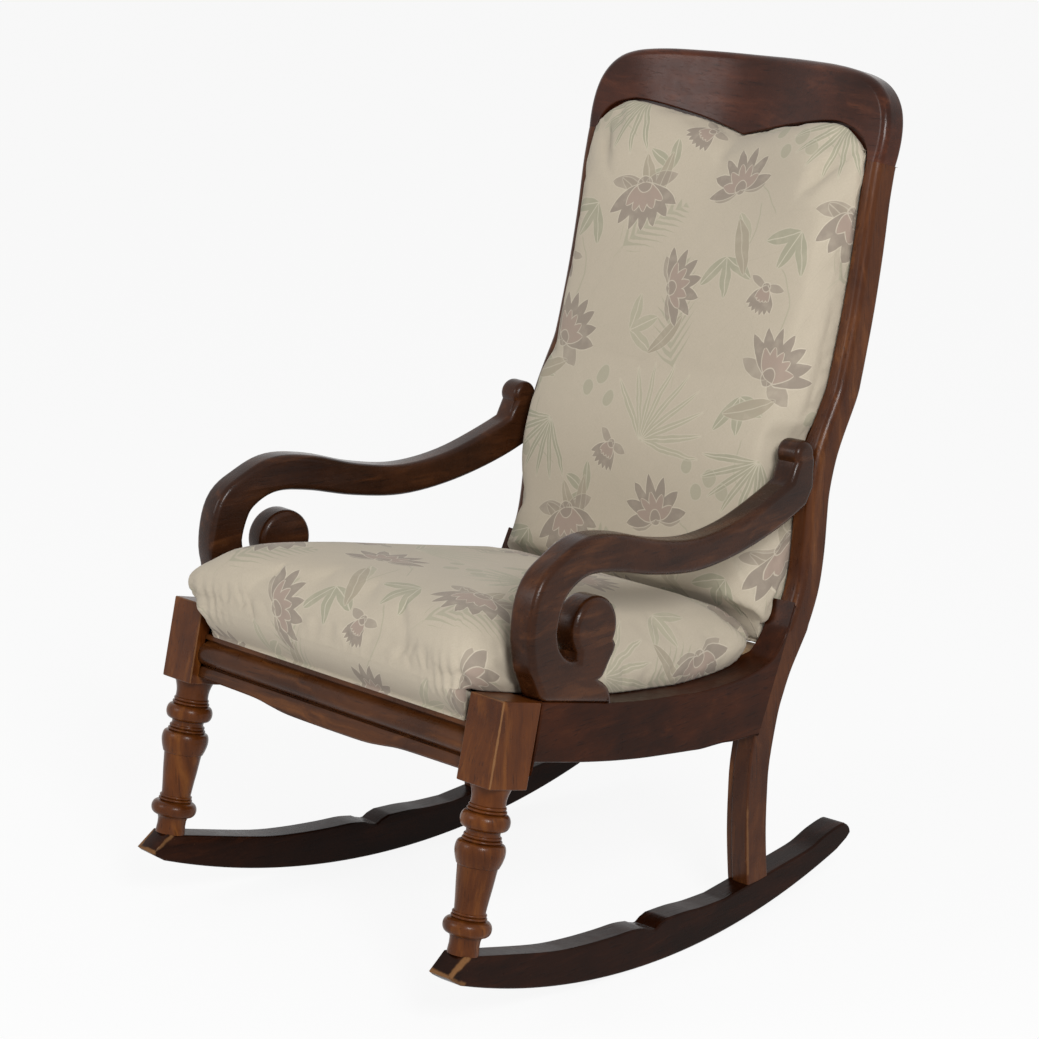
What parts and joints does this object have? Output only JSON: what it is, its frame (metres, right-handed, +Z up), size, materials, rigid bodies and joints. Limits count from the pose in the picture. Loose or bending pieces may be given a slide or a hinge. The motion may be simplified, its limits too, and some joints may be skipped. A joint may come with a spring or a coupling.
{
  "type": "upholstered rocking chair",
  "caption": "Rocking chair on bow rockers with turned front legs, scroll arms, a shaped crest rail and an upholstered seat and back.",
  "frame": {"origin": "on the floor, under the middle of the chair's bounding box", "axes": "+Z up, -Y towards the chair's front, +X towards the right as seen from the front"},
  "size_m": [0.5702, 0.776, 0.9647],
  "materials": {
    "polished_wood": "dark reddish brown, glossy and worn at the edges",
    "plain_wood": "bare",
    "floral_fabric": "woven, cream with taupe and sage flowers",
    "lining_cloth": "plain black cotton",
    "jute": "coarse weave",
    "stuffing": "curled hair",
    "steel": "plain wire"
  },
  "bodies": {
    "root": {"left_rocker": "polished_wood", "right_rocker": "polished_wood", "left_front_leg": "polished_wood", "right_front_leg": "polished_wood", "left_back_post": "polished_wood", "right_back_post": "polished_wood", "crest_rail": "polished_wood", "crest_dowels": "plain_wood", "left_arm": "polished_wood", "right_arm": "polished_wood", "arm_dowels": "plain_wood", "front_rail": "polished_wood", "left_side_rail": "polished_wood", "right_side_rail": "polished_wood", "rear_rail": "plain_wood", "lower_back_rail": "plain_wood", "front_left_corner_block": "plain_wood", "front_right_corner_block": "plain_wood", "rear_left_corner_block": "plain_wood", "rear_right_corner_block": "plain_wood", "corner_block_screws": "steel", "seat_webbing": "jute", "seat_springs": "steel", "seat_hessian": "jute", "seat_stuffing": "stuffing", "seat_cover": "floral_fabric", "bottoming_cloth": "lining_cloth", "back_webbing": "jute", "back_hessian": "jute", "back_stuffing": "stuffing", "back_cover": "floral_fabric", "outside_back_cloth": "lining_cloth"}
  },
  "joints": []
}
